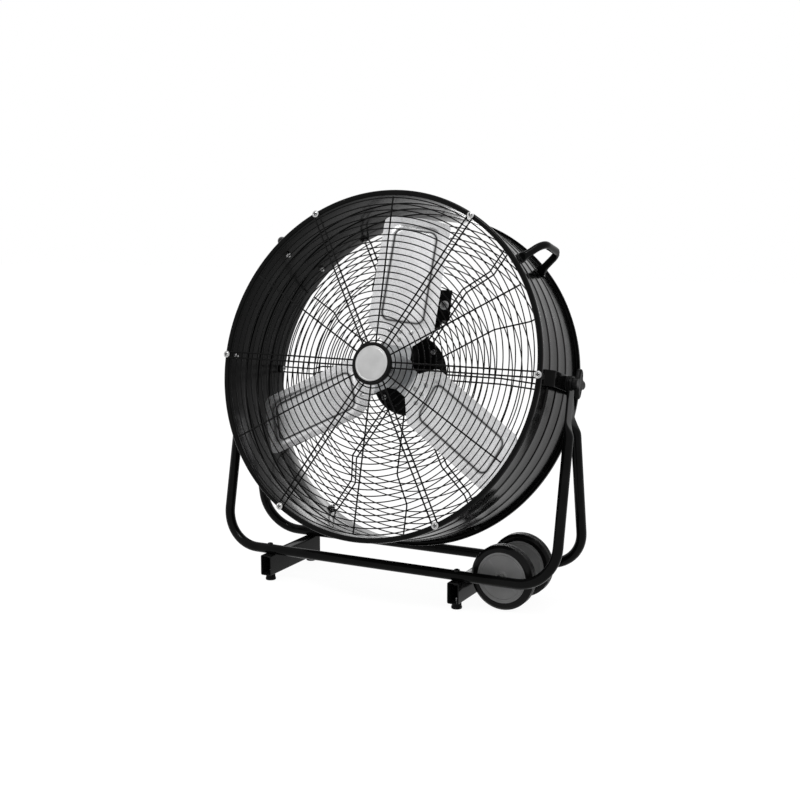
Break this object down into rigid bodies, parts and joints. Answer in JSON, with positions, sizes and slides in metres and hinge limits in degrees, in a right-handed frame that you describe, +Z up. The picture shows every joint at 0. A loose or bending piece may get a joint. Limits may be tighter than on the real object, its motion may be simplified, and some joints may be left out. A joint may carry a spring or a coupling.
{
  "type": "industrial floor fan",
  "caption": "Tilting drum floor fan: beaded steel drum with wire guards and pressed blades, pivoted in a bent-tube stand with transport wheels and rubber feet.",
  "frame": {"origin": "on the ground, midway between the two pivots, under the drum's centre", "axes": "+X to the fan's right seen from the front, along the pivot line; +Y to the back; +Z up"},
  "size_m": [0.719, 0.3638, 0.7535],
  "materials": {
    "black_paint": "satin gloss powder coat",
    "guard_wire": "satin powder coat",
    "blade_aluminium": "mill finish",
    "spider_metal": "pressed, bare",
    "zinc": "bright zinc plate",
    "black_zinc": "black zinc plate",
    "bright_steel": "ground",
    "copper": "enamelled copper wire",
    "badge_metal": "brushed, bare",
    "black_plastic": "moulded",
    "capacitor_shell": "moulded",
    "lead_rubber": "smooth sheath",
    "foot_rubber": "moulded",
    "tyre_rubber": "moulded",
    "wheel_grey": "moulded"
  },
  "bodies": {
    "frame": {"front_frame_tube": "black_paint", "rear_frame_tube": "black_paint", "left_foot_beam": "black_paint", "right_foot_beam": "black_paint", "frame_bolts": "black_zinc", "rubber_feet": "foot_rubber", "foot_screws": "zinc", "wheel_axle": "bright_steel", "wheel_spacers": "zinc", "pivot_washers": "zinc"},
    "rotor": {"fan_blade_1": "blade_aluminium", "fan_blade_2": "blade_aluminium", "fan_blade_3": "blade_aluminium", "hub_spider": "spider_metal", "blade_rivets": "zinc", "hub_set_screw": "zinc", "hub_nut": "zinc", "motor_shaft": "bright_steel", "rotor_core": "bright_steel"},
    "front_wheel": {"front_wheel_tyre": "tyre_rubber", "front_wheel_disc": "wheel_grey"},
    "rear_wheel": {"rear_wheel_tyre": "tyre_rubber", "rear_wheel_disc": "wheel_grey"},
    "right_knob": {"right_clamp_knob": "black_plastic"},
    "left_knob": {"left_clamp_knob": "black_plastic"},
    "speed_dial": {"speed_knob": "black_plastic", "switch_spindle": "bright_steel"},
    "drum": {"badge_clamp": "black_plastic", "badge_cup": "black_plastic", "badge_disc": "badge_metal", "bracket_bolts": "black_zinc", "cable_gland": "black_plastic", "capacitor": "capacitor_shell", "control_box": "black_plastic", "control_box_bolts": "zinc", "control_box_cover": "black_plastic", "control_box_screws": "zinc", "drum_shell": "black_paint", "front_bearing": "bright_steel", "front_guard": "guard_wire", "front_guard_screws": "zinc", "handle_bolts": "black_zinc", "left_handle": "black_paint", "left_pivot_bolt": "black_zinc", "left_pivot_bracket": "black_paint", "motor_bolts": "zinc", "motor_front_shell": "black_paint", "motor_lead": "lead_rubber", "motor_mount_plate": "black_paint", "motor_rear_shell": "black_paint", "rear_bearing": "bright_steel", "rear_guard": "guard_wire", "rear_guard_screws": "black_zinc", "right_handle": "black_paint", "right_pivot_bolt": "black_zinc", "right_pivot_bracket": "black_paint", "speed_switch": "black_plastic", "stator_core": "bright_steel", "stator_windings": "copper", "wall_nuts": "zinc"}
  },
  "joints": [
    {"name": "drum_tilt", "type": "hinge", "parent": "frame", "child": "drum", "pos_m": [0, 0, 0.4155], "axis": [-1, 0, 0], "range_deg": [-59.8, 75.2]},
    {"name": "rotor_spin", "type": "hinge", "parent": "drum", "child": "rotor", "pos_m": [0, 0, 0.4155], "axis": [0, -0.9668, 0.2554], "continuous": true},
    {"name": "front_wheel_roll", "type": "hinge", "parent": "frame", "child": "front_wheel", "pos_m": [0.236, -0.045, 0.0615], "axis": [0, 1, 0], "continuous": true},
    {"name": "rear_wheel_roll", "type": "hinge", "parent": "frame", "child": "rear_wheel", "pos_m": [0.236, 0.045, 0.0615], "axis": [0, 1, 0], "continuous": true},
    {"name": "right_knob_turn", "type": "hinge", "parent": "drum", "child": "right_knob", "pos_m": [0.353, 0, 0.4155], "axis": [1, 0, 0], "range_deg": [0, 360]},
    {"name": "left_knob_turn", "type": "hinge", "parent": "drum", "child": "left_knob", "pos_m": [-0.353, 0, 0.4155], "axis": [-1, 0, 0], "range_deg": [0, 360]},
    {"name": "speed_knob_turn", "type": "hinge", "parent": "drum", "child": "speed_dial", "pos_m": [0.027, 0.12214, 0.52545], "axis": [0, 0.9668, -0.2554], "range_deg": [-270, 0]}
  ]
}
